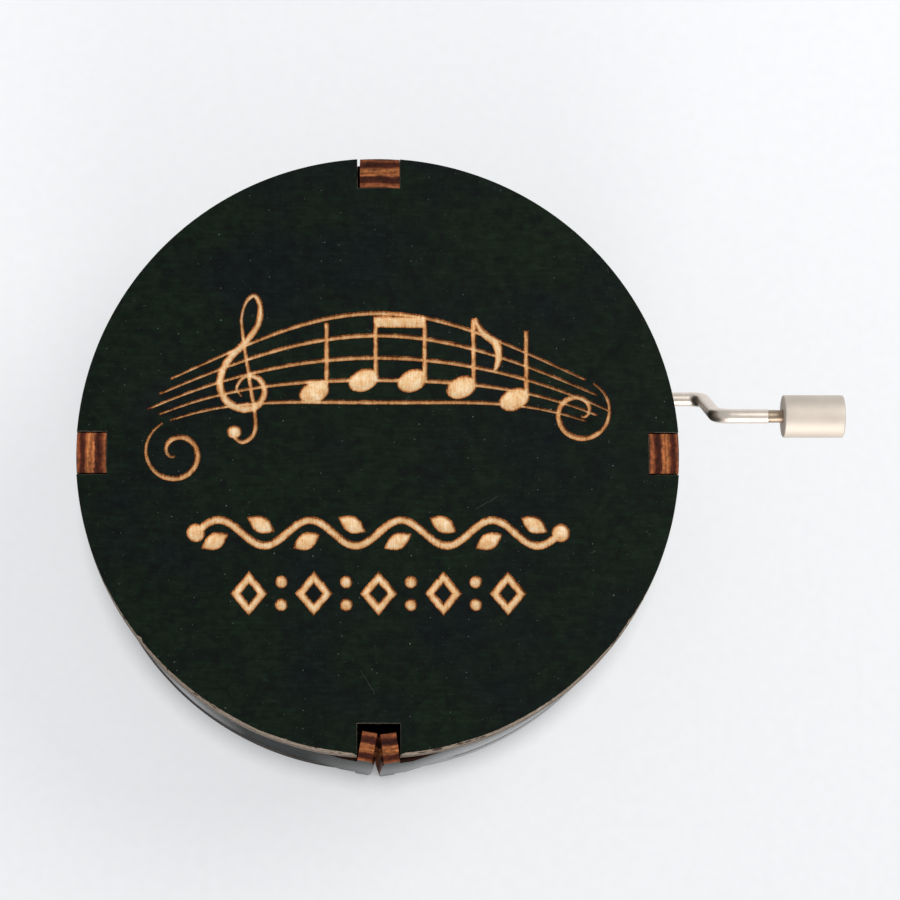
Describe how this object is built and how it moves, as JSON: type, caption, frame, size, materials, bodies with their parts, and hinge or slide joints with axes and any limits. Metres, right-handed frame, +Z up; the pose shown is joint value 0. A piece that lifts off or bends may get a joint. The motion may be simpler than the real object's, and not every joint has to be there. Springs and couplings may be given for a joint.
{
  "type": "hand crank music box",
  "caption": "Round flat music box of black-stained plywood with a bent wall, tabs in rim slots, an engraved top and a bent wire side crank with a cylinder knob.",
  "frame": {"origin": "centre of the base plate's underside, on the table", "axes": "+Z up; +X along the crank shaft, out of the case; +Y away from the wall's seam"},
  "size_m": [0.102, 0.0808, 0.0385],
  "materials": {
    "stained_plywood": "birch plywood, black stain, satin, laser-cut brown edges",
    "cast_zinc": "die-cast zinc, as cast, grey",
    "bright_steel": "turned and ground steel",
    "black_steel": "black oxide spring steel",
    "brass": "turned brass",
    "lead": "dull lead",
    "nylon": "natural nylon",
    "nickel": "satin nickel plate on steel"
  },
  "bodies": {
    "case": {"top_plate": "stained_plywood", "base_plate": "stained_plywood", "wall_strip": "stained_plywood", "bedplate": "cast_zinc", "bed_screws": "bright_steel", "comb": "bright_steel", "comb_weights": "lead", "comb_screws": "brass", "arbor_bracket": "bright_steel", "drive_bracket": "cast_zinc", "bracket_screws": "bright_steel"},
    "drum_set": {"drum": "brass", "drum_pins": "bright_steel", "drum_cap_left": "brass", "drum_cap_right": "brass", "drum_arbor": "bright_steel", "arbor_clips": "black_steel", "worm_wheel": "nylon"},
    "crank": {"worm_shaft": "bright_steel", "worm": "brass", "shaft_clip": "black_steel", "crank_wire": "nickel", "knob_retainer": "bright_steel"},
    "knob": {"crank_knob": "nickel"}
  },
  "joints": [
    {"name": "crank_turn", "type": "hinge", "parent": "case", "child": "crank", "pos_m": [0.04, 0.0102, 0.0202], "axis": [1, 0, 0], "continuous": true},
    {"name": "drum_turn", "type": "hinge", "parent": "case", "child": "drum_set", "pos_m": [0.005, 0, 0.0123], "axis": [0, 1, 0], "continuous": true},
    {"name": "knob_spin", "type": "hinge", "parent": "crank", "child": "knob", "pos_m": [0.058, 0.00541, 0.03568], "axis": [1, 0, 0], "continuous": true}
  ],
  "couplings": [
    {"joint": "drum_turn", "follows": "crank_turn", "ratio": -0.055556}
  ]
}
